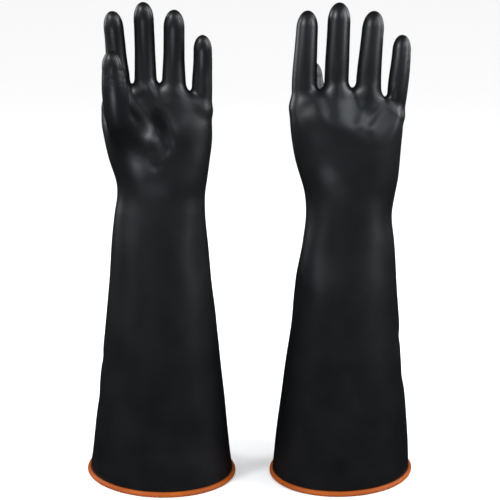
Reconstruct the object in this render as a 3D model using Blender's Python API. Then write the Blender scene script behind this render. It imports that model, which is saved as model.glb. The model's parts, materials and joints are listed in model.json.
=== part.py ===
"""A pair of long electrical insulating gloves made of dipped rubber.

Each glove is a black outer ply over an orange liner ply, closed at the cuff by a rolled orange bead.
A glove is one skin of rings: the rings of the sleeve and the palm, then one tube for each finger
and one for the thumb. Every ply is that skin offset inward, divided where the glove bends.

Units are metres, +Z is up. The gloves stand on their beads with the fingers up, side by side along X.
The left glove turns its palm to -Y, the right glove turns its palm to +Y.
Inside a glove, "across" runs from the thumb side to the little finger, and "front" is toward the palm.
"""

import math

import bmesh
import bpy
from mathutils import Vector

# Plies and gaps
OUTER_PLY = 0.0009
PLY_GAP = 0.0003
LINER_PLY = 0.0008
HINGE_GAP = 0.0004
OUTER_DEPTHS = (0.0, OUTER_PLY)
LINER_DEPTHS = (OUTER_PLY + PLY_GAP, OUTER_PLY + PLY_GAP + LINER_PLY)

# Cuff bead
BEAD_RADIUS = 0.0025
BEAD_SIDES = 8
BEAD_PROUD = 0.0002
BEAD_HEIGHT = 2 * BEAD_RADIUS * math.cos(math.pi / BEAD_SIDES)
CUFF_HEIGHT = BEAD_HEIGHT + PLY_GAP

# Rings: each finger takes two edges of the front and two of the back, and each side takes two
FINGER_COUNT = 4
FRONT_POINTS = 2 * FINGER_COUNT + 1
RING_POINTS = 2 * FRONT_POINTS + 2
TUBE_ANGLES = (225, 270, 315, 0, 45, 90, 135, 180)

# Sleeve and palm: height, half width, half depth, centre across, centre front, squareness, finger spacing
SECTIONS = (
    (CUFF_HEIGHT, 0.0710, 0.0615, -0.0010, 0.0000, 2.0, 0.0),
    (0.0250, 0.0680, 0.0598, -0.0010, 0.0000, 2.0, 0.0),
    (0.0760, 0.0622, 0.0555, 0.0000, 0.0000, 2.0, 0.0),
    (0.1350, 0.0558, 0.0505, 0.0005, 0.0000, 2.0, 0.0),
    (0.1960, 0.0490, 0.0440, 0.0008, 0.0000, 2.0, 0.0),
    (0.2420, 0.0452, 0.0375, 0.0012, 0.0000, 2.0, 0.0),
    (0.2760, 0.0416, 0.0315, 0.0027, 0.0000, 2.0, 0.0),
    (0.3010, 0.0445, 0.0275, 0.0032, 0.0008, 2.1, 0.2),
    (0.3200, 0.0485, 0.0245, 0.0018, 0.0010, 2.3, 0.5),
    (0.3390, 0.0508, 0.0220, 0.0008, 0.0010, 2.5, 0.8),
    (0.3570, 0.0516, 0.0195, 0.0003, 0.0005, 2.7, 1.0),
)
WRIST_SECTION = 6
THUMB_ROWS = (8, 9, 10)
THUMB_COLUMNS = (1, 2)
KNUCKLE_SLOPE = 0.0045

# Where the fingers leave the palm
WEB_HALF_DEPTH = 0.0165
WEB_SQUARENESS = 2.8
WEB_DROP = 0.0095
SIDE_DROP = 0.0030
HINGE_ABOVE_CROTCH = 0.0080

# Fingertips: rings before the end, as parts of the tip radius
DOME_STEPS = (1.00, 0.42, 0.10)
TIP_ROUNDNESS = 1.12

# Fingers: name, across at the root, the middle and the tip, height of the bend and of the tip,
# radius at the root and at the tip. Thumb: across, front and height of its hinge, its bend and its tip.
GLOVES = {
    "left": {
        "across": -0.0875,
        "palm": -1,
        "rim_width": 1.000,
        "rim_depth": 1.000,
        "palm_width": 0.980,
        "edges": (-0.0495, -0.0209, 0.0033, 0.0312, 0.0513),
        "crotches": (0.3810, 0.3850, 0.3860, 0.3796, 0.3730),
        "fingers": (
            ("index", (-0.0352, -0.0355, -0.0378), (0.4240, 0.4520), (0.0110, 0.0092)),
            ("middle", (-0.0088, -0.0087, -0.0091), (0.4250, 0.4600), (0.0100, 0.0092)),
            ("ring", (0.0173, 0.0182, 0.0192), (0.4240, 0.4530), (0.0107, 0.0096)),
            ("pinky", (0.0425, 0.0446, 0.0448), (0.4080, 0.4300), (0.0094, 0.0083)),
        ),
        "thumb": ((-0.0305, 0.0400, 0.3600), (-0.0315, 0.0500, 0.3860), (-0.0338, 0.0555, 0.4160)),
    },
    "right": {
        "across": 0.0925,
        "palm": 1,
        "rim_width": 0.957,
        "rim_depth": 1.130,
        "palm_width": 1.030,
        "edges": (-0.0530, -0.0256, 0.0033, 0.0334, 0.0525),
        "crotches": (0.3790, 0.3810, 0.3824, 0.3745, 0.3690),
        "fingers": (
            ("index", (-0.0398, -0.0396, -0.0376), (0.4240, 0.4515), (0.0113, 0.0096)),
            ("middle", (-0.0112, -0.0100, -0.0083), (0.4250, 0.4592), (0.0113, 0.0103)),
            ("ring", (0.0184, 0.0206, 0.0241), (0.4240, 0.4515), (0.0115, 0.0099)),
            ("pinky", (0.0440, 0.0480, 0.0505), (0.4080, 0.4293), (0.0095, 0.0082)),
        ),
        "thumb": ((-0.0315, 0.0400, 0.3590), (-0.0300, 0.0490, 0.3780), (-0.0265, 0.0545, 0.3990)),
    },
}
FINGER_CURL = 0.0080
AXIS_STEP = 0.001
THUMB_ROOT = (-0.0335, 0.0305, 0.3455)
THUMB_ROOT_AXIS = (0.0, 0.70, 0.71)
THUMB_RADII = (0.0145, 0.0122, 0.0112, 0.0100)

# Rubber: colour and roughness
OUTER_RUBBER = ((0.030, 0.030, 0.032), 0.35)
LINER_RUBBER = ((0.78, 0.30, 0.07), 0.5)
BEAD_RUBBER = ((0.72, 0.27, 0.06), 0.45)
SHARP_ANGLE = math.radians(50)


def clear_scene():
    for item in list(bpy.data.objects):
        bpy.data.objects.remove(item)


def rubber(name, look):
    color, roughness = look
    material = bpy.data.materials.new(name)
    material.use_nodes = True
    shader = material.node_tree.nodes["Principled BSDF"]
    shader.inputs["Base Color"].default_value = (*color, 1.0)
    shader.inputs["Roughness"].default_value = roughness
    shader.inputs["Metallic"].default_value = 0.0
    material.diffuse_color = (*color, 1.0)
    return material


def add_object(name, form, look):
    """Turns a finished bmesh into a named object with its own rubber."""
    mesh = bpy.data.meshes.new(name)
    form.to_mesh(mesh)
    form.free()
    mesh.shade_smooth()
    mesh.set_sharp_from_angle(angle=SHARP_ANGLE)
    mesh.materials.append(rubber(name + "_rubber", look))
    item = bpy.data.objects.new(name, mesh)
    bpy.context.scene.collection.objects.link(item)


def mix(a, b, part):
    return a + (b - a) * part


class Skin:
    """The outer surface of one glove: points, triangles with the name of their region, and cut planes."""

    def __init__(self, glove):
        self.glove = glove
        self.points = []
        self.triangles = []
        self.regions = []
        self.cuts = {}

    def world(self, across, front, height):
        return Vector((self.glove["across"] + across, self.glove["palm"] * front, height))

    def add(self, point):
        self.points.append(point)
        return len(self.points) - 1

    def quad(self, a, b, c, d, region):
        p = self.points
        if (p[a] - p[c]).length <= (p[b] - p[d]).length:
            pair = ((a, b, c), (a, c, d))
        else:
            pair = ((a, b, d), (b, c, d))
        for triangle in pair:
            self.triangles.append(triangle)
            self.regions.append(region)

    def bridge(self, lower, upper, region):
        count = len(lower)
        for k in range(count):
            n = (k + 1) % count
            self.quad(lower[k], lower[n], upper[n], upper[k], region)

    def cut(self, ring, origin, axis):
        """The plies part at this ring, which lies in the plane through origin across axis."""
        for k in ring:
            self.cuts[k] = (origin, axis)


def outline(glove, half_width, half_depth, squareness, spacing):
    """Across and front of the points of one palm ring, from the thumb side round the palm and the back."""
    points = []
    step = math.pi / (FRONT_POINTS + 1)
    for k in range(FRONT_POINTS):
        even = -math.cos((k + 1) * step)
        edges = glove["edges"]
        low = edges[k // 2]
        high = edges[min(k // 2 + 1, FINGER_COUNT)]
        finger = (low if k % 2 == 0 else (low + high) / 2) / edges[-1]
        if k in (0, FRONT_POINTS - 1):
            finger = even
        share = mix(even, finger, spacing)
        depth = (1 - abs(share) ** squareness) ** (1 / squareness)
        points.append((share * half_width, depth * half_depth))
    front = [(-1.0 * half_width, 0.0)] + points
    back = [(half_width, 0.0)] + [(across, -depth) for across, depth in reversed(points)]
    return front + back


def palm_ring(skin, section):
    """One ring of the sleeve or the palm, thumb side first."""
    height, half_width, half_depth, across, front, squareness, spacing = section
    glove = skin.glove
    wrist = SECTIONS[WRIST_SECTION][0]
    low = max(0.0, 1 - height / wrist)
    high = max(0.0, height / wrist - 1) / (SECTIONS[-1][0] / wrist - 1)
    half_width *= mix(1.0, glove["rim_width"], low) * mix(1.0, glove["palm_width"], high)
    half_depth *= mix(1.0, glove["rim_depth"], low)
    ring = []
    for x, y in outline(glove, half_width, half_depth, squareness, spacing):
        slope = spacing * KNUCKLE_SLOPE * max(0.0, x / half_width)
        ring.append(skin.add(skin.world(x + across, y + front, height - slope)))
    return ring


def web_ring(skin):
    """The ring at the roots of the fingers, with the middle point of each web."""
    glove = skin.glove
    half_width = (glove["edges"][-1] - glove["edges"][0]) / 2
    centre = (glove["edges"][-1] + glove["edges"][0]) / 2
    places = outline(glove, half_width, WEB_HALF_DEPTH, WEB_SQUARENESS, 1.0)
    crotches = glove["crotches"]
    ring = []
    for k, (x, y) in enumerate(places):
        if k == 0:
            height = crotches[0] - SIDE_DROP
        elif k == FRONT_POINTS + 1:
            height = crotches[-1] - SIDE_DROP
        else:
            place = k - 1 if k <= FRONT_POINTS else 2 * FRONT_POINTS + 1 - k
            low = crotches[place // 2]
            high = crotches[min(place // 2 + 1, FINGER_COUNT)]
            height = (low if place % 2 == 0 else (low + high) / 2) - WEB_DROP
        ring.append(skin.add(skin.world(x + centre, y, height)))
    webs = [ring[0]]
    for k in range(1, FINGER_COUNT):
        webs.append(skin.add(skin.world(glove["edges"][k], 0.0, crotches[k])))
    webs.append(ring[FRONT_POINTS + 1])
    return ring, webs


def finger_root(ring, webs, finger):
    """The eight points where a finger leaves the palm: front, web, back, web."""
    first = 1 + 2 * finger
    front = [ring[first], ring[first + 1], ring[first + 2]]
    last = RING_POINTS - first
    back = [ring[last - 2], ring[last - 1], ring[last]]
    return front + [webs[finger + 1]] + back + [webs[finger]]


def finger_centre(places, root_height, tip_height, height):
    """The middle line of a finger at a height: a bow through its root, its middle and its tip."""
    part = (height - root_height) / (tip_height - root_height)
    low, middle, high = places
    across = low * (1 - part) * (1 - 2 * part) + 4 * middle * part * (1 - part) + high * part * (2 * part - 1)
    return across, FINGER_CURL * part ** 2


def tube_ring(skin, centre, axis, sideways, radius):
    """A round ring of eight points across axis. Its second point is the one nearest the palm side."""
    rear = axis.cross(sideways) * -skin.glove["palm"]
    ring = []
    for angle in TUBE_ANGLES:
        turn = math.radians(angle)
        ring.append(skin.add(centre + (sideways * math.cos(turn) + rear * math.sin(turn)) * radius))
    return ring


def close_tip(skin, ring, end, region):
    last = skin.add(end)
    for k in range(len(ring)):
        skin.triangles.append((ring[k], ring[(k + 1) % len(ring)], last))
        skin.regions.append(region)


def add_tube(skin, name, root, stations, hinges, tip):
    """A finger: rings at the stations (centre, axis, radius), cut at the two hinges, closed at the tip."""
    region = "hand"
    ring = root
    for number, (centre, axis, radius) in enumerate(stations):
        sideways = (Vector((1, 0, 0)) - axis * axis.x).normalized()
        upper = tube_ring(skin, centre, axis, sideways, radius)
        skin.bridge(ring, upper, region)
        if number in hinges:
            skin.cut(upper, centre, axis)
            region = name + ("_base" if number == hinges[0] else "_tip")
        ring = upper
    close_tip(skin, ring, tip, region)


def dome(tip, axis, radius):
    """Stations of a rounded end whose last point is tip."""
    reach = radius * TIP_ROUNDNESS
    stations = []
    for step in DOME_STEPS:
        size = radius * math.sqrt(1 - (1 - step) ** 2)
        stations.append((tip - axis * (reach * step), axis, size))
    return stations


def add_finger(skin, number, root):
    name, places, (bend, tip), (root_radius, tip_radius) = skin.glove["fingers"][number]
    crotch = max(skin.glove["crotches"][number : number + 2])
    root_height = crotch - WEB_DROP
    hinge = crotch + HINGE_ABOVE_CROTCH

    def centre(height):
        across, front = finger_centre(places, root_height, tip, height)
        return skin.world(across, front, height)

    def axis(height):
        return (centre(height + AXIS_STEP) - centre(height - AXIS_STEP)).normalized()

    stations = []
    for height in (hinge, (hinge + bend) / 2, bend):
        part = (height - hinge) / (bend - hinge)
        stations.append((centre(height), axis(height), mix(root_radius, tip_radius, part)))
    stations += dome(centre(tip), axis(tip - tip_radius), tip_radius)
    add_tube(skin, name, root, stations, (0, 2), centre(tip))


def add_thumb(skin, rows):
    """The thumb leaves the palm where two faces by two are left out, and rises in front of the index."""
    thumb = skin.glove["thumb"]
    low, middle, high = rows
    root = [low[1], low[2], low[3], middle[3], high[3], high[2], high[1], middle[1]]
    places = [skin.world(*place) for place in thumb]
    axes = [(places[1] - places[0]).normalized(), (places[2] - places[0]).normalized()]
    end_axis = (places[2] - places[1]).normalized()
    root_axis = Vector((0, skin.glove["palm"] * THUMB_ROOT_AXIS[1], THUMB_ROOT_AXIS[2])).normalized()
    stations = [
        (skin.world(*THUMB_ROOT), root_axis, THUMB_RADII[0]),
        (places[0], axes[0], THUMB_RADII[1]),
        (places[1], axes[1], THUMB_RADII[2]),
    ]
    stations += dome(places[2], end_axis, THUMB_RADII[3])
    add_tube(skin, "thumb", root, stations, (1, 2), places[2])


def glove_skin(glove):
    """The whole outer surface of a glove, open at the cuff."""
    skin = Skin(glove)
    rings = [palm_ring(skin, section) for section in SECTIONS]
    skin.cut(rings[0], skin.world(0, 0, CUFF_HEIGHT), Vector((0, 0, 1)))
    skin.cut(rings[WRIST_SECTION], skin.world(0, 0, SECTIONS[WRIST_SECTION][0]), Vector((0, 0, 1)))
    roots, webs = web_ring(skin)
    rows = rings + [roots]
    for number in range(len(rows) - 1):
        region = "sleeve" if number < WRIST_SECTION else "hand"
        lower, upper = rows[number], rows[number + 1]
        for k in range(RING_POINTS):
            if number in THUMB_ROWS[:2] and k in THUMB_COLUMNS:
                continue
            n = (k + 1) % RING_POINTS
            skin.quad(lower[k], lower[n], upper[n], upper[k], region)
    for number in range(FINGER_COUNT):
        add_finger(skin, number, finger_root(roots, webs, number))
    add_thumb(skin, [rings[k] for k in THUMB_ROWS])
    if volume(skin) < 0:
        skin.triangles = [(a, c, b) for a, b, c in skin.triangles]
    return skin


def volume(skin):
    p = skin.points
    return sum(p[a].dot(p[b].cross(p[c])) for a, b, c in skin.triangles)


def skin_normals(skin):
    normals = [Vector() for _ in skin.points]
    p = skin.points
    for a, b, c in skin.triangles:
        corners = (a, b, c)
        for k in range(3):
            here, after, before = corners[k], corners[(k + 1) % 3], corners[k - 1]
            one = (p[after] - p[here]).normalized()
            two = (p[before] - p[here]).normalized()
            normals[here] += one.cross(two).normalized() * math.acos(max(-1, min(1, one.dot(two))))
    return [normal.normalized() for normal in normals]


def add_ply(name, skin, normals, region, depths, look, side_of_cut):
    """A closed shell between two depths under one region of the skin."""
    triangles = [t for t, r in zip(skin.triangles, skin.regions) if r == region]
    used = sorted({k for t in triangles for k in t})
    form = bmesh.new()
    layers = []
    for depth in depths:
        layer = {}
        for k in used:
            point = skin.points[k] - normals[k] * depth
            if k in skin.cuts:
                origin, axis = skin.cuts[k]
                shift = side_of_cut(k) * HINGE_GAP / 2
                point = point - axis * ((point - origin).dot(axis) - shift)
            layer[k] = form.verts.new(point)
        layers.append(layer)
    outer, inner = layers
    edges = {}
    for a, b, c in triangles:
        form.faces.new((outer[a], outer[b], outer[c]))
        form.faces.new((inner[a], inner[c], inner[b]))
        for one, two in ((a, b), (b, c), (c, a)):
            edges[(one, two)] = True
    for one, two in edges:
        if (two, one) not in edges:
            form.faces.new((outer[two], outer[one], inner[one], inner[two]))
    add_object(name, form, look)


def add_bead(name, skin):
    """The rolled edge under both plies: a ring with a flat underside, a little proud of the wall."""
    form = bmesh.new()
    middle = skin.world(SECTIONS[0][3], SECTIONS[0][4], 0)
    loops = []
    for k in range(RING_POINTS):
        wall = skin.points[k].copy()
        wall.z = 0
        outward = (wall - middle).normalized()
        loop = []
        for side in range(BEAD_SIDES):
            turn = 2 * math.pi * (side + 0.5) / BEAD_SIDES
            offset = outward * (BEAD_RADIUS * math.cos(turn) + BEAD_PROUD)
            rise = BEAD_HEIGHT / 2 + BEAD_RADIUS * math.sin(turn)
            loop.append(form.verts.new(wall + offset + Vector((0, 0, rise))))
        loops.append(loop)
    for k in range(RING_POINTS):
        here, after = loops[k], loops[(k + 1) % RING_POINTS]
        for side in range(BEAD_SIDES):
            up = (side + 1) % BEAD_SIDES
            form.faces.new((here[side], here[up], after[up], after[side]))
    bmesh.ops.recalc_face_normals(form, faces=form.faces)
    add_object(name, form, BEAD_RUBBER)


def build_glove(side, glove):
    skin = glove_skin(glove)
    normals = skin_normals(skin)
    for region in dict.fromkeys(skin.regions):
        inside = [t for t, r in zip(skin.triangles, skin.regions) if r == region]
        middle = {k: sum((skin.points[c] for c in t), Vector()) / 3 for t in reversed(inside) for k in t}

        def side_of_cut(k):
            origin, axis = skin.cuts[k]
            return 1 if (middle[k] - origin).dot(axis) > 0 else -1

        add_ply(f"{side}_{region}_outer", skin, normals, region, OUTER_DEPTHS, OUTER_RUBBER, side_of_cut)
        add_ply(f"{side}_{region}_liner", skin, normals, region, LINER_DEPTHS, LINER_RUBBER, side_of_cut)
    add_bead(f"{side}_cuff_bead", skin)


clear_scene()
for glove_side, glove_sizes in GLOVES.items():
    build_glove(glove_side, glove_sizes)
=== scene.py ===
"""Looks for a pair of long electrical insulating gloves: satin black rubber over an orange liner.

Each glove is one smooth form, made of a lofted sleeve and palm, four fingers and a thumb that flow into
each other. Its surface is meshed and cut across where the glove bends, and each piece is given its
thickness. Lengths are metres, apart from the tables that say millimetres. In a glove's own directions,
"across" runs from the thumb side to the little finger, "front" points where the palm looks, and "height"
is up.
"""

import json
import math

import bmesh
import bpy
import numpy as np
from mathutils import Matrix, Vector


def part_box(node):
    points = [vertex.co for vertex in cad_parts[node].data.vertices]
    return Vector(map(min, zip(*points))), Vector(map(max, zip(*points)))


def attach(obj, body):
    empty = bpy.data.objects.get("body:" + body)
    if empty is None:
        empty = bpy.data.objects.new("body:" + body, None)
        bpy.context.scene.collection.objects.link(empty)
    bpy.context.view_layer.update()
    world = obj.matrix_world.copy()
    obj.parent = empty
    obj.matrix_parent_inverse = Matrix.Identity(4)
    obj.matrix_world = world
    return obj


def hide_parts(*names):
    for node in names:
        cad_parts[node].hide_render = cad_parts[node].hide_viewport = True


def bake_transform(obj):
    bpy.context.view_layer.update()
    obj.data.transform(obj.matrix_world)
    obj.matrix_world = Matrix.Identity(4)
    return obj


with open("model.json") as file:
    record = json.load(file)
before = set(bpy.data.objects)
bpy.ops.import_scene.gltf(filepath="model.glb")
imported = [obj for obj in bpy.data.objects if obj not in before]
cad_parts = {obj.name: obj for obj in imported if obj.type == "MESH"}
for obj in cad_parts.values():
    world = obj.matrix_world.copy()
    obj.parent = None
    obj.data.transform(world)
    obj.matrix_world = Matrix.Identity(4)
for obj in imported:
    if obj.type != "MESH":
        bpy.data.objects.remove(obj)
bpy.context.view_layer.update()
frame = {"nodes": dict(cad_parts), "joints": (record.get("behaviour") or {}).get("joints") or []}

MM = 0.001
SIDES = ("left", "right")
FINGERS = ("index", "middle", "ring", "pinky")
DIGITS = FINGERS + ("thumb",)
UP = np.array((0.0, 0.0, 1.0))

# From the middle of the cuff's box to the line that a glove's "across" is counted from
AXIS_FROM_CUFF = 1.0 * MM
# How far under a CAD node's highest point its top still counts
TOP_BAND = 0.1 * MM

# Plies: the depths of their two faces under the glove's outer surface
PLY_DEPTHS = {
    "outer": (0.0, 0.9 * MM),
    "liner": (1.2 * MM, 2.0 * MM),
}

# Meshing: the box around a glove and the size of its cells, which are longer along the sleeve than in the
# hand; then how often the points are evened out, how strongly, and how often they are laid on the form
CELL = 2.0 * MM
SLEEVE_CELL = 2 * CELL
FINE_FROM = 238 * MM
GRID_LOW = np.array((-85, -82, -8)) * MM
GRID_HIGH = np.array((85, 82, 470)) * MM
SMOOTH_ROUNDS = 5
SMOOTHING = 0.6
LAYING_ROUNDS = 2
NORMAL_STEP = 0.8 * MM

# Cutting: how near, in cells, a corner is moved onto the cut, how far off a digit its cuts reach, and how
# near a corner counts as on the cut
SNAP = 0.3
DIGIT_REACH = 3 * MM
ON_CUT = 0.001 * MM

# Guards against dividing by nothing
LEAST_SHARE = 1e-4
LEAST_SLOPE = 1e-6
LEAST_SQUARE = 0.05

# Where a glove bends: the spans below and above each hinge, from which the cuts around it are placed
WRIST_BEND = (24 * MM, 24 * MM)
BASE_BEND = (3.5 * MM, 12 * MM)
TIP_BEND = (4.5 * MM, 11 * MM)
CUT_MARGIN = 1.5 * MM

# Cuff bead: how far its middle stands off the wall, and above the floor as a share of its radius
BEAD_RADIUS = 2.5 * MM
BEAD_PROUD = 0.2 * MM
BEAD_FOOT = 0.92
BEAD_POINTS = 220
BEAD_SIDES = 22
# Where the wall is looked for, from the glove's middle line, and in how many halvings
WALL_BETWEEN = (20 * MM, 110 * MM)
WALL_ROUNDS = 30
# Unevenness of the bead: share of its radius, waves around the cuff, and turns around its section
BEAD_WAVES = ((0.03, 5, 1), (0.02, 13, 0))
# The plies end in the bead, and flare a little just above it
PLY_END = 3.4 * MM
CUFF_FLARE = 0.3 * MM
CUFF_FLARE_HEIGHT = 7 * MM

# Sleeve and palm, in millimetres:
# height, half width, centre across, half depth toward the palm side, toward the back, squareness
SECTIONS = {
    "left": (
        (-20, 74.0, -0.6, 68.8, 68.8, 2.0),
        (0, 71.8, -0.4, 66.3, 66.3, 2.0),
        (30, 67.5, 0.0, 62.6, 62.6, 2.0),
        (75, 62.8, 0.8, 57.5, 57.5, 2.0),
        (115, 58.7, 1.5, 53.5, 53.5, 2.0),
        (155, 54.5, 1.7, 49.0, 49.0, 2.0),
        (196, 49.3, 2.0, 44.0, 44.0, 2.0),
        (236, 45.8, 1.9, 38.0, 38.0, 2.0),
        (262, 43.2, 2.6, 33.5, 33.5, 2.0),
        (281, 42.0, 3.9, 30.5, 30.5, 2.0),
        (297, 43.7, 4.6, 29.5, 29.0, 2.1),
        (313, 47.2, 3.6, 27.5, 28.0, 2.2),
        (330, 50.4, 2.6, 25.5, 27.0, 2.05),
        (346, 51.8, 1.2, 23.2, 25.0, 2.05),
        (362, 51.2, 0.8, 17.4, 18.5, 2.15),
        (376, 49.2, 1.0, 12.0, 11.8, 2.4),
        (390, 47.5, 1.4, 8.5, 8.5, 2.6),
        (400, 46.0, 1.4, 6.5, 6.5, 2.6),
    ),
    "right": (
        (-20, 69.9, -0.6, 67.0, 67.0, 2.0),
        (0, 68.8, -0.4, 64.5, 64.5, 2.0),
        (30, 66.4, 0.0, 62.8, 62.8, 2.0),
        (75, 61.8, 0.4, 59.5, 59.5, 2.0),
        (115, 57.1, 0.6, 55.0, 55.0, 2.0),
        (155, 52.8, 1.4, 50.5, 50.5, 2.0),
        (196, 48.9, 1.5, 45.0, 45.0, 2.0),
        (236, 43.5, 3.2, 37.5, 37.5, 2.0),
        (262, 41.0, 3.2, 33.0, 33.0, 2.0),
        (281, 43.1, 3.5, 30.5, 30.5, 2.0),
        (297, 46.6, 2.6, 29.5, 29.5, 2.1),
        (313, 49.6, 1.0, 27.5, 28.5, 2.2),
        (330, 51.6, -0.1, 25.5, 27.5, 2.35),
        (346, 52.9, -0.7, 23.0, 25.5, 2.5),
        (362, 53.0, -1.1, 17.8, 18.5, 2.6),
        (376, 51.6, -1.2, 12.0, 11.8, 2.6),
        (390, 49.6, -0.8, 8.5, 8.5, 2.6),
        (400, 49.0, -0.8, 6.5, 6.5, 2.6),
    ),
}

# Near the cuff the oval is turned a little: front shift for each step across, fading upward
CUFF_SKEW = 0.095
CUFF_SKEW_FADE = 110 * MM

# Where the back of the hand bends forward into the fingers, in millimetres: across and shift upward
KNUCKLE_LINE = ((-52, 8), (-31, 6), (-3, 0), (20, -8), (34, -7), (50, 6))
KNUCKLE_FROM = 300 * MM
KNUCKLE_FADE = 40 * MM

# Crotches, in millimetres: across and height, with a point beyond each side of the palm
CROTCHES = {
    "left": ((-52, 369), (-21.5, 382.4), (3.1, 383.9), (31.2, 377.4), (53, 362)),
    "right": ((-56, 369), (-26.0, 379.3), (3.2, 380.4), (33.2, 372.4), (56, 356)),
}

# Radius of each finger, in millimetres: in the palm, at its hinge, between, at its bend and near its tip
FINGER_RADII = {
    "left": {
        "index": (12.0, 11.6, 9.9, 9.3, 9.1),
        "middle": (11.5, 10.2, 9.7, 9.4, 9.2),
        "ring": (12.0, 10.8, 10.0, 9.8, 9.6),
        "pinky": (9.4, 9.5, 9.1, 8.8, 8.3),
    },
    "right": {
        "index": (11.3, 11.6, 11.0, 10.4, 9.7),
        "middle": (12.0, 11.3, 11.2, 10.8, 10.5),
        "ring": (12.5, 11.6, 11.0, 10.4, 10.0),
        "pinky": (8.0, 9.5, 9.4, 8.9, 8.1),
    },
}
# How far each finger's root and hinge stand off the CAD's, across, in millimetres
FINGER_LEAN = {
    "left": {"index": (0, 0), "middle": (0, 0), "ring": (0, 0), "pinky": (-0.3, 0)},
    "right": {"index": (-1.2, -0.9), "middle": (0, 0), "ring": (0, 0), "pinky": (-1.2, 0.2)},
}
TIP_STRETCH = 1.7
# How far a fingertip curls to the front, and where the curl counts, as shares of the way from hinge to tip
FINGER_CURL = 8 * MM
CURL_SHARES = (-0.2, 1)
FINGER_ROOT_DEPTH = 24 * MM
FINGER_ROWS = 12
# How softly the fingers, the palm and its top flow into each other
WEB_BLEND = 7.5 * MM
PALM_TOP_BLEND = 8 * MM
NEIGHBOUR_BLEND = 1.5 * MM
TUBE_REACH = 30 * MM

# Thumb from the ball of the hand to its hinge, in millimetres: across, front, height, radius
THENAR = {
    "left": ((-16, -1, 312, 20.5), (-21, 12.5, 331, 19.0), (-26.5, 27, 348, 15.6)),
    "right": ((-17, -1, 312, 20.5), (-22, 12.5, 331, 19.0), (-27.5, 27, 348, 15.4)),
}
# Its radius at its hinge, its bend and its tip
THUMB_RADII = (12.2, 11.6, 9.5)
THUMB_TIP_SHARE = 0.85
THUMB_ROWS = 40
THUMB_BLEND = 13 * MM

# Hollows and ridges of the hand, in millimetres: the side of the hand, its line (across, height), its width
# and its rise. The thumb, standing further to the front than they reach, is left plain
PALM, BACK = 1, -1
RELIEF_FRONT = 48 * MM
RELIEF_FRONT_FADE = 18 * MM
RELIEF_MIDDLE_FADE = 10 * MM
RELIEF_FROM = 285 * MM
RELIEF_REACH = 12 * MM
RELIEF = {
    "left": (
        (PALM, ((-22, 384), (-15.5, 371), (-7.5, 358), (0, 347)), 8.5, -2.2),
        (PALM, ((-14, 371), (-6, 358), (4, 344), (11.5, 328)), 7.0, -1.6),
        (PALM, ((-5, 380), (5, 367), (14.5, 349), (18.5, 336), (17, 325), (10, 316), (1, 311)), 4.6, 0.9),
        (PALM, ((2, 333), (3, 325), (-1, 316)), 4.4, 0.5),
        (PALM, ((29, 362), (28, 352), (24, 342)), 14.0, 1.6),
    ),
    "right": (
        (BACK, ((-34, 380), (-28, 362)), 8.0, 0.8),
        (BACK, ((-9, 382), (-7, 358)), 7.5, 0.7),
        (BACK, ((20.5, 382), (15, 362), (11, 350)), 5.5, 0.9),
        (BACK, ((42, 380), (33, 366), (21, 346)), 5.5, 1.1),
        (BACK, ((-22, 372), (-18, 358)), 5.5, -0.5),
        (BACK, ((4, 372), (3, 356)), 5.5, -0.5),
        (BACK, ((31, 368), (22, 354)), 5.0, -0.8),
    ),
}

# Slow unevenness of the moulded sleeve, in millimetres: size, length, lobes around and phase.
# It fades in above the cuff and out in the hand
WAVES_FROM = 8 * MM
WAVES_FADE_IN = 30 * MM
WAVES_TO = 350 * MM
WAVES_FADE_OUT = 50 * MM
WAVES = (
    (0.35, 61, 2, 0.4),
    (0.30, 37, 3, 2.1),
    (0.22, 23, 5, 4.0),
)
# Dents at the edges of a sleeve, in millimetres: across, height, length and depth. The shape says how many
# times longer each is across, toward the front and up
DENT_SHAPE = (2.0, 2.6, 1.0)
DENTS = {
    "left": ((-55, 118, 8, 0.9), (-60, 78, 10, 0.7), (54, 150, 14, 0.4)),
    "right": ((52, 141, 7, 1.1), (50, 100, 8, 1.0), (-50, 190, 12, 0.4)),
}

# Texture of the rubber: scale and detail of each noise, the part of it that is used, and the bump depths
CLOUDS = (38, 3)
GLOSS_CLOUDS = (21, 4)
RIPPLES = (70, 2)
GRAIN = (1500, 2)
NOISE_RANGE = (0.3, 0.7)
RIPPLE_DEPTH = 0.6 * MM
GRAIN_DEPTH = 0.05 * MM

# Studio: floor, camera and lights, which are turned to the middle of the gloves
FLOOR_REACH = 30
FLOOR_COLOUR = (0.99, 0.99, 0.99, 1)
FLOOR_ROUGHNESS = 0.9
WORLD_STRENGTH = 1.0
MIDDLE = (0, 0, 0.3)
CAMERA_PLACE = (0.0011, -1.1, 0.48)
CAMERA_TARGET = (0.0011, 0, 0.2259)
CAMERA_LENS = 84.4
CAMERA_SENSOR = 36
BLUISH = (0.86, 0.92, 1.0)
WHITE = (0.95, 0.98, 1.0)
# Each soft box: name, its place (see around), size, radiance, colour
SOFTBOXES = (
    ("right_key", (36, 40, 1.8), (0.9, 0.4), 5.2, BLUISH),
    ("left_key", (-34, 40, 1.8), (0.6, 0.4), 3.4, BLUISH),
    ("right_low", (64, 12, 1.6), (0.6, 0.4), 2.6, BLUISH),
    ("left_low", (-64, 12, 1.6), (0.6, 0.4), 2.4, BLUISH),
    ("right_strip", (75, 30, 1.6), (0.36, 0.9), 13, WHITE),
    ("left_box", (-52, 39, 1.5), (0.26, 0.26), 42, WHITE),
    ("left_rim", (-112, 20, 1.6), (0.4, 1.0), 8, WHITE),
    ("right_rim", (118, 22, 1.6), (0.4, 0.9), 7, WHITE),
)
# A card near the floor that lights only the left hand: as a soft box, but with its own target and spread
LOW_CARD = ("low_card", (-0.25, -0.6, 0.06), (-0.09, -0.03, 0.41), (0.5, 0.25), 0.30, BLUISH, 32)


def mix(a, b, part):
    return a + (b - a) * part


def smooth_step(x):
    x = np.clip(x, 0, 1)
    return x * x * (3 - 2 * x)


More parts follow.
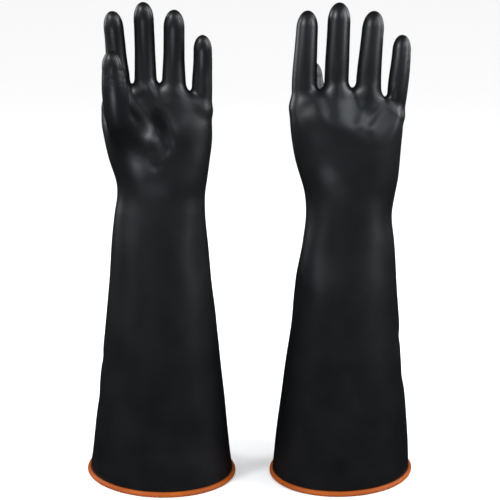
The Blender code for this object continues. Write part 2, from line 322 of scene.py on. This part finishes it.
def smooth_curve(x, xs, ys):
    """A smooth line through the points (xs, ys), read at x."""
    xs = np.asarray(xs, float)
    ys = np.asarray(ys, float)
    slopes = np.gradient(ys, xs)
    k = np.clip(np.searchsorted(xs, x) - 1, 0, len(xs) - 2)
    span = xs[k + 1] - xs[k]
    t = np.clip((x - xs[k]) / span, 0, 1)
    a = (2 * t**3 - 3 * t**2 + 1) * ys[k] + (t**3 - 2 * t**2 + t) * span * slopes[k]
    b = (3 * t**2 - 2 * t**3) * ys[k + 1] + (t**3 - t**2) * span * slopes[k + 1]
    return a + b


def smooth_min(a, b, width):
    """The lesser of a and b, rounded where they meet."""
    h = np.clip(0.5 + 0.5 * (b - a) / width, 0, 1)
    return mix(b, a, h) - width * h * (1 - h)


def smooth_max(a, b, width):
    return -smooth_min(-a, -b, width)


def line_distance(p, line):
    """How far each point (across, height) is from a smooth line through a few points."""
    steps = np.concatenate(([0], np.cumsum(np.linalg.norm(np.diff(line, axis=0), axis=1))))
    fine = np.linspace(0, steps[-1], 2 * len(line) + 1)
    line = np.column_stack([smooth_curve(fine, steps, line[:, k]) for k in (0, 1)])
    best = np.full(len(p), np.inf)
    for a, b in zip(line[:-1], line[1:]):
        way = b - a
        t = np.clip((p - a) @ way / (way @ way), 0, 1)
        best = np.minimum(best, np.linalg.norm(p - a - t[:, None] * way, axis=1))
    return best


def joint(name):
    return next(j for j in frame["joints"] if j["name"] == name)


def unit(vector):
    return vector / np.linalg.norm(vector)


class Glove:
    """The form of one glove, in its own directions, with the places where it bends."""

    def __init__(self, side):
        self.side = side
        wrist = joint(side + "_wrist_flex")
        self.palm = 1 if wrist["pos_m"][1] > 0 else -1
        low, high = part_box(side + "_cuff_bead")
        self.across = (low.x + high.x) / 2 + AXIS_FROM_CUFF
        self.wrist = wrist["pos_m"][2]
        self.sections = np.array(SECTIONS[side], float)
        self.sections[:, :5] *= MM
        self.crotches = np.array(CROTCHES[side], float) * MM
        self.tubes = {}
        self.hinges = {}
        for finger in FINGERS:
            self.add_finger(finger)
        self.add_thumb()

    def local(self, points):
        return (np.asarray(points, float) - (self.across, 0, 0)) * (1, self.palm, 1)

    def world(self, points):
        return np.asarray(points, float) * (1, self.palm, 1) + (self.across, 0, 0)

    def highest(self, node):
        """The middle of a CAD node's highest points."""
        points = np.array([v.co for v in frame["nodes"][node].data.vertices])
        top = points[points[:, 2] > points[:, 2].max() - TOP_BAND]
        return self.local(top.mean(axis=0))

    def hinge_in(self, digit, part, place):
        """Notes the middle of the tube at a hinge, and the way the tube runs there."""
        rows = self.tubes[digit]
        k = int(np.argmin(np.linalg.norm(rows[:, :3] - place, axis=1)))
        low, high = max(k - 1, 0), min(k + 1, len(rows) - 1)
        self.hinges[digit, part] = (place, unit(rows[high, :3] - rows[low, :3]))

    def add_finger(self, finger):
        side = self.side
        hinge = self.local(joint(f"{side}_{finger}_base_flex")["pos_m"])
        bend = self.local(joint(f"{side}_{finger}_tip_flex")["pos_m"])
        tip = self.highest(f"{side}_{finger}_tip_outer")
        radii = np.array(FINGER_RADII[side][finger], float) * MM
        root = hinge[2] - FINGER_ROOT_DEPTH
        rows = np.linspace(root, tip[2] - radii[-1] * TIP_STRETCH, FINGER_ROWS)
        places = (root, hinge[2], bend[2], tip[2])
        root_lean, hinge_lean = (lean * MM for lean in FINGER_LEAN[side][finger])
        ends = (hinge[0] + root_lean, hinge[0] + hinge_lean, bend[0], tip[0])
        across = smooth_curve(rows, places, ends)
        share = np.clip((rows - hinge[2]) / (tip[2] - hinge[2]), *CURL_SHARES)
        front = FINGER_CURL * np.sign(share) * share**2
        heights = (root, hinge[2], (hinge[2] + bend[2]) / 2, bend[2], tip[2])
        self.tubes[finger] = np.column_stack((across, front, rows, smooth_curve(rows, heights, radii)))
        for part, place in (("base", hinge), ("tip", bend)):
            self.hinge_in(finger, part, np.array((place[0], np.interp(place[2], rows, front), place[2])))

    def add_thumb(self):
        side = self.side
        base = self.local(joint(side + "_thumb_base_swing")["pos_m"])
        bend = self.local(joint(side + "_thumb_tip_flex")["pos_m"])
        base[0] += THUMB_RADII[0] * MM
        bend[0] -= THUMB_RADII[1] * MM
        tip = self.highest(side + "_thumb_tip_outer")
        end = tip - unit(tip - bend) * THUMB_RADII[2] * MM * TIP_STRETCH * THUMB_TIP_SHARE
        line = [np.array(row, float) * MM for row in THENAR[side]]
        line += [np.append(p, r * MM) for p, r in zip((base, bend, end), THUMB_RADII)]
        line = np.array(line)
        steps = np.concatenate(([0], np.cumsum(np.linalg.norm(np.diff(line[:, :3], axis=0), axis=1))))
        fine = np.linspace(0, steps[-1], THUMB_ROWS)
        self.tubes["thumb"] = np.column_stack([smooth_curve(fine, steps, line[:, k]) for k in range(4)])
        self.hinge_in("thumb", "base", base)
        self.hinge_in("thumb", "tip", bend)

    def palm_field(self, p):
        """Distance from the sleeve and the palm."""
        s = self.sections
        height = np.clip(p[:, 2], s[0, 0], s[-1, 0])
        half_width, across, front, square = [smooth_curve(height, s[:, 0], s[:, k]) for k in (1, 2, 3, 5)]
        line = np.array(KNUCKLE_LINE, float) * MM
        shift = smooth_curve(p[:, 0], line[:, 0], line[:, 1])
        shift *= smooth_step((height - KNUCKLE_FROM) / KNUCKLE_FADE)
        back = smooth_curve(np.clip(height - shift, s[0, 0], s[-1, 0]), s[:, 0], s[:, 4])
        half_width = half_width + CUFF_FLARE * np.exp(-np.clip(height, 0, None) / CUFF_FLARE_HEIGHT)
        skew = CUFF_SKEW * np.exp(-np.clip(height, 0, None) / CUFF_SKEW_FADE)
        forward = p[:, 1] - skew * (p[:, 0] - across)
        half_depth = np.where(forward > 0, front, back)
        x = np.maximum(np.abs(p[:, 0] - across) / half_width, LEAST_SHARE)
        y = np.maximum(np.abs(forward) / half_depth, LEAST_SHARE)
        g = (x**square + y**square) ** (1 / square)
        power = square - 1
        slope = g**-power * np.hypot(x**power / half_width, y**power / half_depth)
        wall = (g - 1) / np.maximum(slope, LEAST_SLOPE)
        top = smooth_curve(p[:, 0], self.crotches[:, 0], self.crotches[:, 1])
        return smooth_max(wall, p[:, 2] - top, PALM_TOP_BLEND)

    def tube_field(self, p, digit):
        """Distance from one finger or the thumb: a tube through rows (across, front, height, radius)."""
        rows = self.tubes[digit]
        field = np.full(len(p), TUBE_REACH)
        low = rows[:, :3].min(axis=0) - rows[:, 3].max() - TUBE_REACH / 2
        high = rows[:, :3].max(axis=0) + rows[:, 3].max() * TIP_STRETCH + TUBE_REACH / 2
        near = np.all((p > low) & (p < high), axis=1)
        q = p[near]
        best = np.full(len(q), TUBE_REACH)
        for k in range(len(rows) - 1):
            a, b = rows[k, :3], rows[k + 1, :3]
            length = np.linalg.norm(b - a)
            along = (q - a) @ (b - a) / length
            t = np.clip(along / length, 0, 1)
            rest = q - a - np.outer(along, (b - a) / length)
            beyond = along - t * length
            if k == len(rows) - 2:
                beyond = np.where(beyond > 0, beyond / TIP_STRETCH, beyond)
            distance = np.sqrt((rest**2).sum(axis=1) + beyond**2) - mix(rows[k, 3], rows[k + 1, 3], t)
            best = np.minimum(best, distance)
        field[near] = best
        return field

    def relief(self, p):
        """How far the hand and the sleeve rise above their plain form."""
        rise = np.zeros(len(p))
        plan = p[:, [0, 2]]
        hand = p[:, 2] > RELIEF_FROM
        for face, line, width, height in RELIEF[self.side]:
            away = line_distance(plan[hand], np.array(line, float) * MM) / (width * MM)
            depth = face * p[hand, 1]
            share = smooth_step(depth / RELIEF_MIDDLE_FADE)
            share *= smooth_step((RELIEF_FRONT - depth) / RELIEF_FRONT_FADE)
            rise[hand] += height * MM * share * np.exp(-(away**2))
        for across, height, length, depth in DENTS[self.side]:
            away = np.linalg.norm((p - np.array((across, 0, height)) * MM) / DENT_SHAPE, axis=1)
            rise -= depth * MM * np.exp(-((away / (length * MM)) ** 2))
        turn = np.arctan2(p[:, 1], p[:, 0])
        fade = smooth_step((p[:, 2] - WAVES_FROM) / WAVES_FADE_IN)
        fade *= smooth_step((WAVES_TO - p[:, 2]) / WAVES_FADE_OUT)
        for size, length, lobes, phase in WAVES:
            up_wave = np.sin(p[:, 2] / (length * MM) * 2 + phase)
            rise += size * MM * fade * up_wave * np.cos(lobes * turn + phase)
        return rise

    def field(self, p):
        """Distance from the glove's outer surface, negative inside, for points in its own directions."""
        fingers = self.tube_field(p, FINGERS[0])
        for finger in FINGERS[1:]:
            fingers = smooth_min(fingers, self.tube_field(p, finger), NEIGHBOUR_BLEND)
        hand = smooth_min(self.palm_field(p), fingers, WEB_BLEND)
        whole = smooth_min(hand, self.tube_field(p, "thumb"), THUMB_BLEND)
        near = np.abs(whole) < RELIEF_REACH
        whole[near] -= self.relief(p[near])
        return whole

    def slopes(self, p):
        """How fast the field grows in each direction: a vector straight out of the surface."""
        step = np.eye(3) * NORMAL_STEP
        return np.column_stack([
            (self.field(p + step[k]) - self.field(p - step[k])) / (2 * NORMAL_STEP) for k in range(3)
        ])

    def cuts(self):
        """Where the surface is divided: name below, name above, a point of the plane, its way up."""
        found = [
            ("", "sleeve", UP * PLY_END, UP),
            ("sleeve", "wrist", UP * (self.wrist - WRIST_BEND[0] - CUT_MARGIN), UP),
            ("wrist", "hand", UP * (self.wrist + WRIST_BEND[1] + CUT_MARGIN), UP),
        ]
        for digit in DIGITS:
            place, axis = self.hinges[digit, "base"]
            after, next_axis = self.hinges[digit, "tip"]
            found.append(("hand", digit + "_base", place - axis * (BASE_BEND[0] + CUT_MARGIN), axis))
            middle = (place + axis * BASE_BEND[1] + after - next_axis * TIP_BEND[0]) / 2
            found.append((digit + "_base", digit + "_tip", middle, unit(axis + next_axis)))
        return found


def surface_cells(values):
    """Where the values on a grid change sign: a point in each cell there, and the quads between them."""
    inside = values < 0
    shape = np.array(values.shape) - 1
    count = np.zeros(shape, int)
    corners = [np.array((i, j, k)) for i in (0, 1) for j in (0, 1) for k in (0, 1)]
    for c in corners:
        count += inside[c[0] : c[0] + shape[0], c[1] : c[1] + shape[1], c[2] : c[2] + shape[2]]
    cells = np.argwhere((count > 0) & (count < 8))
    number = np.full(shape, -1)
    number[tuple(cells.T)] = np.arange(len(cells))
    total = np.zeros((len(cells), 3))
    hits = np.zeros(len(cells))
    for a in corners:
        for b in corners:
            if (b - a).min() < 0 or (b - a).sum() != 1:
                continue
            va = values[tuple((cells + a).T)]
            vb = values[tuple((cells + b).T)]
            cross = (va < 0) != (vb < 0)
            t = va[cross] / (va[cross] - vb[cross])
            total[cross] += a + t[:, None] * (b - a)
            hits[cross] += 1
    points = cells + total / hits[:, None]
    quads = []
    for axis in range(3):
        one, two = [(1, 2), (2, 0), (0, 1)][axis]
        here = [slice(0, n) for n in values.shape]
        after = list(here)
        here[axis] = slice(0, values.shape[axis] - 1)
        after[axis] = slice(1, values.shape[axis])
        edge = np.argwhere(inside[tuple(here)] != inside[tuple(after)])
        ok = (edge[:, one] > 0) & (edge[:, two] > 0)
        ok &= (edge[:, one] < shape[one]) & (edge[:, two] < shape[two])
        edge = edge[ok]
        steps = np.eye(3, dtype=int)
        ring = [edge - steps[one] - steps[two], edge - steps[two], edge, edge - steps[one]]
        quad = np.column_stack([number[tuple(r.T)] for r in ring])
        flip = ~inside[tuple(edge.T)]
        quad[flip] = quad[flip][:, ::-1]
        quads.append(quad)
    return points, np.vstack(quads)


def glove_surface(glove):
    """The outer surface of a glove as points and quads, evened out and laid exactly on the form."""
    axes = [np.arange(GRID_LOW[k], GRID_HIGH[k], CELL) for k in (0, 1)]
    coarse = np.arange(GRID_LOW[2], FINE_FROM, SLEEVE_CELL)
    axes.append(np.concatenate((coarse, np.arange(coarse[-1] + CELL, GRID_HIGH[2], CELL))))
    grid = np.stack(np.meshgrid(*axes, indexing="ij"), axis=-1).reshape(-1, 3)
    values = glove.field(grid).reshape([len(a) for a in axes])
    places, quads = surface_cells(values)
    points = np.column_stack([np.interp(places[:, k], range(len(axes[k])), axes[k]) for k in range(3)])
    edges = np.vstack([quads[:, [k, (k + 1) % 4]] for k in range(4)])
    weight = np.bincount(edges.ravel(), minlength=len(points))
    for _ in range(SMOOTH_ROUNDS):
        total = np.zeros_like(points)
        for k in range(3):
            total[:, k] += np.bincount(edges[:, 0], points[edges[:, 1], k], len(points))
            total[:, k] += np.bincount(edges[:, 1], points[edges[:, 0], k], len(points))
        points = mix(points, total / np.maximum(weight, 1)[:, None], SMOOTHING)
        for _ in range(LAYING_ROUNDS):
            slope = glove.slopes(points)
            square = np.maximum((slope**2).sum(axis=1), LEAST_SQUARE)
            points = points - slope * (glove.field(points) / square)[:, None]
    return points, quads


def cut_form(form, glove, points, quads, cuts):
    """Fills the bmesh with the surface and cuts it along each plane. Returns the mark of the cut edges."""
    corners = [form.verts.new(p) for p in points]
    faces = [form.faces.new([corners[k] for k in quad]) for quad in quads]
    middles = points[quads].mean(axis=1)
    mark = form.edges.layers.int.new("cut")
    for number, (_, above, origin, axis) in enumerate(cuts, 1):
        near = np.abs((middles - origin) @ axis) < 2 * SLEEVE_CELL
        digit = above.split("_")[0]
        if digit in DIGITS:
            near[near] = glove.tube_field(middles[near], digit) < DIGIT_REACH
        chosen = [faces[k] for k in np.flatnonzero(near)]
        edges = list(dict.fromkeys(e for f in chosen for e in f.edges))
        verts = list(dict.fromkeys(v for f in chosen for v in f.verts))
        for v in verts:
            away = (np.array(v.co) - origin) @ axis
            if abs(away) < SNAP * CELL:
                v.co -= Vector(axis * away)
        result = bmesh.ops.bisect_plane(
            form, geom=chosen + edges + verts, dist=ON_CUT, plane_co=origin, plane_no=axis
        )
        for item in result["geom_cut"]:
            if isinstance(item, bmesh.types.BMEdge):
                item[mark] = number
    bmesh.ops.triangulate(form, faces=[f for f in form.faces if len(f.verts) > 4])
    form.verts.index_update()
    form.faces.index_update()
    form.faces.ensure_lookup_table()
    return mark


def groups_between(form, mark):
    """A number for each face: faces that are joined without crossing a cut share one."""
    group = np.full(len(form.faces), -1)
    count = 0
    for seed in form.faces:
        if group[seed.index] >= 0:
            continue
        group[seed.index] = count
        stack = [seed]
        while stack:
            for edge in stack.pop().edges:
                if edge[mark]:
                    continue
                for other in edge.link_faces:
                    if group[other.index] < 0:
                        group[other.index] = count
                        stack.append(other)
        count += 1
    return group


def group_names(form, mark, group, cuts):
    """The name of each group of faces, from the cuts that it touches."""
    names = {}
    for edge in form.edges:
        if edge[mark]:
            below, above, origin, axis = cuts[edge[mark] - 1]
            for face in edge.link_faces:
                side = (np.array(face.calc_center_median()) - origin) @ axis
                name = above if side > 0 else below
                if names.setdefault(group[face.index], name) != name:
                    raise ValueError(f"{name} and {names[group[face.index]]} are not parted")
    return names


def divide(glove, points, quads):
    """Cuts the surface where the glove bends. Returns its points, and the faces of each piece."""
    form = bmesh.new()
    cuts = glove.cuts()
    mark = cut_form(form, glove, points, quads, cuts)
    group = groups_between(form, mark)
    names = group_names(form, mark, group, cuts)
    pieces = {}
    for face in form.faces:
        name = names.get(group[face.index])
        if name:
            pieces.setdefault(name, []).append([v.index for v in face.verts])
    points = np.array([v.co for v in form.verts])
    form.free()
    return points, pieces


def add_piece(name, points, faces, normals, looks):
    """An object from points, faces and a normal for each face corner: (0, 0, 0) leaves it as it is."""
    mesh = bpy.data.meshes.new(name)
    mesh.from_pydata(points.tolist(), [], faces)
    mesh.shade_smooth()
    mesh.normals_split_custom_set(normals)
    mesh.materials.append(looks)
    item = bpy.data.objects.new(name, mesh)
    bpy.context.scene.collection.objects.link(item)
    return item


def add_shell(name, glove, points, slopes, faces, depths, looks):
    """One piece of a ply: a closed shell between two depths under some faces of the glove's surface."""
    used, place = np.unique([k for face in faces for k in face], return_inverse=True)
    p, n = points[used], slopes[used]
    count = len(used)
    outer, start = [], 0
    for face in faces:
        outer.append(place[start : start + len(face)].tolist())
        start += len(face)
    edges = {(f[k - 1], f[k]) for f in outer for k in range(len(f))}
    inner = [[k + count for k in reversed(f)] for f in outer]
    rim = [[b, a, a + count, b + count] for a, b in edges if (b, a) not in edges]
    rim.sort()
    shell = np.vstack((p - n * depths[0], p - n * depths[1]))
    ways = np.vstack((n, -n)) * (1, glove.palm, 1)
    closed = outer + inner + rim
    if glove.palm < 0:
        closed = [f[::-1] for f in closed]
    normals = [ways[k] for f in closed[: 2 * len(outer)] for k in f] + [(0, 0, 0)] * (4 * len(rim))
    return add_piece(name, glove.world(shell), closed, normals, looks)


def add_bead(glove, looks):
    """The rolled edge: a round ring that follows the wall and stands on a flat foot."""
    turns = np.linspace(0, 2 * math.pi, BEAD_POINTS, endpoint=False)
    ways = np.column_stack((np.cos(turns), np.sin(turns), np.zeros(BEAD_POINTS)))
    low, high = (np.full(BEAD_POINTS, distance) for distance in WALL_BETWEEN)
    for _ in range(WALL_ROUNDS):
        middle = (low + high) / 2
        inside = glove.field(ways * middle[:, None] + UP * BEAD_RADIUS) < 0
        low, high = np.where(inside, middle, low), np.where(inside, high, middle)
    wall = ways * low[:, None]
    along = np.roll(wall, -1, axis=0) - np.roll(wall, 1, axis=0)
    outward = np.column_stack((along[:, 1], -along[:, 0], along[:, 2]))
    outward /= np.linalg.norm(outward, axis=1)[:, None]
    rings = []
    for turn in np.linspace(0, 2 * math.pi, BEAD_SIDES, endpoint=False):
        size = np.full(BEAD_POINTS, BEAD_RADIUS)
        for share, waves, rounds in BEAD_WAVES:
            size += BEAD_RADIUS * share * np.sin(waves * turns + rounds * turn)
        reach = BEAD_PROUD + size * math.cos(turn)
        rise = np.maximum(BEAD_RADIUS * BEAD_FOOT + size * math.sin(turn), 0)
        rings.append(wall + outward * reach[:, None] + UP * rise[:, None])
    points = np.stack(rings, axis=1).reshape(-1, 3)
    faces = []
    for k in range(BEAD_POINTS):
        for s in range(BEAD_SIDES):
            n, up = (k + 1) % BEAD_POINTS, (s + 1) % BEAD_SIDES
            face = [k * BEAD_SIDES + s, n * BEAD_SIDES + s, n * BEAD_SIDES + up, k * BEAD_SIDES + up]
            faces.append(face if glove.palm > 0 else face[::-1])
    normals = [(0, 0, 0)] * (4 * len(faces))
    return add_piece(glove.side + "_bead", glove.world(points), faces, normals, looks)


def new_material(name, specular):
    material = bpy.data.materials.new(name)
    material.use_nodes = True
    shader = material.node_tree.nodes["Principled BSDF"]
    shader.inputs["Specular IOR Level"].default_value = specular
    return material, shader


def rubber(name, dark, light, roughness, specular, grain, relief):
    """Dipped rubber: cloudy colour and gloss, a faint grain and soft ripples from the dipping."""
    material, shader = new_material(name, specular)
    nodes, links = material.node_tree.nodes, material.node_tree.links
    where = nodes.new("ShaderNodeTexCoord")

    def noise(scale, detail):
        node = nodes.new("ShaderNodeTexNoise")
        node.inputs["Scale"].default_value = scale
        node.inputs["Detail"].default_value = detail
        links.new(where.outputs["Object"], node.inputs["Vector"])
        return node.outputs["Fac"]

    def spread(value, low, high):
        node = nodes.new("ShaderNodeMapRange")
        limits = {"From Min": NOISE_RANGE[0], "From Max": NOISE_RANGE[1], "To Min": low, "To Max": high}
        for socket, limit in limits.items():
            node.inputs[socket].default_value = limit
        links.new(value, node.inputs["Value"])
        return node.outputs["Result"]

    def bump(height, strength, distance):
        node = nodes.new("ShaderNodeBump")
        node.inputs["Strength"].default_value = strength
        node.inputs["Distance"].default_value = distance
        links.new(height, node.inputs["Height"])
        return node

    colour = nodes.new("ShaderNodeMix")
    colour.data_type = "RGBA"
    colour.inputs["A"].default_value = (*dark, 1)
    colour.inputs["B"].default_value = (*light, 1)
    links.new(spread(noise(*CLOUDS), 0, 1), colour.inputs["Factor"])
    links.new(colour.outputs["Result"], shader.inputs["Base Color"])
    links.new(spread(noise(*GLOSS_CLOUDS), *roughness), shader.inputs["Roughness"])
    ripples = bump(noise(*RIPPLES), relief, RIPPLE_DEPTH)
    fine = bump(noise(*GRAIN), grain, GRAIN_DEPTH)
    links.new(ripples.outputs["Normal"], fine.inputs["Normal"])
    links.new(fine.outputs["Normal"], shader.inputs["Normal"])
    return material


def floor_material():
    material, shader = new_material("pale_floor", specular=0.1)
    shader.inputs["Base Color"].default_value = FLOOR_COLOUR
    shader.inputs["Roughness"].default_value = FLOOR_ROUGHNESS
    return material


def add_softbox(name, place, target, size, radiance, colour, spread=180):
    """A soft box at a place, turned to its target. Its spread is in degrees."""
    lamp = bpy.data.lights.new(name, "AREA")
    lamp.shape = "RECTANGLE"
    lamp.size, lamp.size_y = size
    lamp.energy = radiance * math.pi * size[0] * size[1]
    lamp.color = colour
    lamp.spread = math.radians(spread)
    item = bpy.data.objects.new(name, lamp)
    item.location = place
    item.rotation_mode = "QUATERNION"
    item.rotation_quaternion = (Vector(target) - item.location).to_track_quat("-Z", "Y")
    bpy.context.scene.collection.objects.link(item)


def around(turn, rise, distance):
    """A place round the middle of the gloves: degrees from the front toward +X, degrees up, metres."""
    turn, rise = math.radians(turn), math.radians(rise)
    way = Vector((math.sin(turn) * math.cos(rise), -math.cos(turn) * math.cos(rise), math.sin(rise)))
    return Vector(MIDDLE) + way * distance


def add_floor():
    corners = [(x * FLOOR_REACH, y * FLOOR_REACH, 0) for x, y in ((-1, -1), (1, -1), (1, 1), (-1, 1))]
    mesh = bpy.data.meshes.new("floor")
    mesh.from_pydata(corners, [], [(0, 1, 2, 3)])
    mesh.materials.append(floor_material())
    floor = bpy.data.objects.new("floor", mesh)
    bpy.context.scene.collection.objects.link(floor)
    floor.visible_glossy = False


def add_lights():
    """White surroundings that don't show in the gloss, and the soft boxes that do."""
    world = bpy.data.worlds.new("studio")
    bpy.context.scene.world = world
    world.use_nodes = True
    background = world.node_tree.nodes["Background"]
    background.inputs["Color"].default_value = (1, 1, 1, 1)
    background.inputs["Strength"].default_value = WORLD_STRENGTH
    world.cycles_visibility.glossy = False
    for name, place, size, radiance, colour in SOFTBOXES:
        add_softbox(name, around(*place), MIDDLE, size, radiance, colour)
    add_softbox(*LOW_CARD)


def add_camera():
    camera = bpy.data.objects.new("camera", bpy.data.cameras.new("camera"))
    bpy.context.scene.collection.objects.link(camera)
    camera.data.lens = CAMERA_LENS
    camera.data.sensor_width = CAMERA_SENSOR
    camera.location = CAMERA_PLACE
    camera.rotation_mode = "QUATERNION"
    camera.rotation_quaternion = (Vector(CAMERA_TARGET) - camera.location).to_track_quat("-Z", "Y")
    bpy.context.scene.camera = camera


def build_glove(side, looks):
    """Adds every piece of one glove, and joins its sleeve and hand pieces and its bead to their bodies."""
    glove = Glove(side)
    points, pieces = divide(glove, *glove_surface(glove))
    slopes = glove.slopes(points)
    slopes /= np.linalg.norm(slopes, axis=1)[:, None]
    for part, faces in pieces.items():
        for ply, depths in PLY_DEPTHS.items():
            name = f"{side}_{part}_{ply}_skin"
            item = add_shell(name, glove, points, slopes, faces, depths, looks[ply])
            if part == "wrist":
                start, end = UP * (glove.wrist - WRIST_BEND[0]), UP * (glove.wrist + WRIST_BEND[1])
                glove.world(start)
                glove.world(end)
                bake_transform(item)
                continue
            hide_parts(f"{side}_{part}_{ply}")
            if part in ("sleeve", "hand"):
                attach(item, f"{side}_{part}")
                continue
            digit, segment = part.split("_")
            place, axis = glove.hinges[digit, segment]
            below, above = BASE_BEND if segment == "base" else TIP_BEND
            start, end = glove.world(place - axis * below), glove.world(place + axis * above)
            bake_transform(item)
    bead = add_bead(glove, looks["bead"])
    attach(bead, side + "_sleeve")
    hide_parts(side + "_cuff_bead")


looks = {
    "outer": rubber(
        "black_rubber",
        dark=(0.0036, 0.0038, 0.0046),
        light=(0.0058, 0.0061, 0.0074),
        roughness=(0.36, 0.43),
        specular=0.5,
        grain=0.2,
        relief=0.05,
    ),
    "liner": rubber(
        "orange_liner",
        dark=(0.62, 0.20, 0.045),
        light=(0.78, 0.29, 0.07),
        roughness=(0.45, 0.6),
        specular=0.4,
        grain=0.4,
        relief=0.2,
    ),
    "bead": rubber(
        "orange_bead",
        dark=(0.27, 0.050, 0.004),
        light=(0.36, 0.078, 0.007),
        roughness=(0.38, 0.5),
        specular=0.22,
        grain=0.4,
        relief=0.25,
    ),
}
for side in SIDES:
    build_glove(side, looks)
add_floor()
add_lights()
add_camera()
bpy.context.scene.view_settings.view_transform = "Standard"
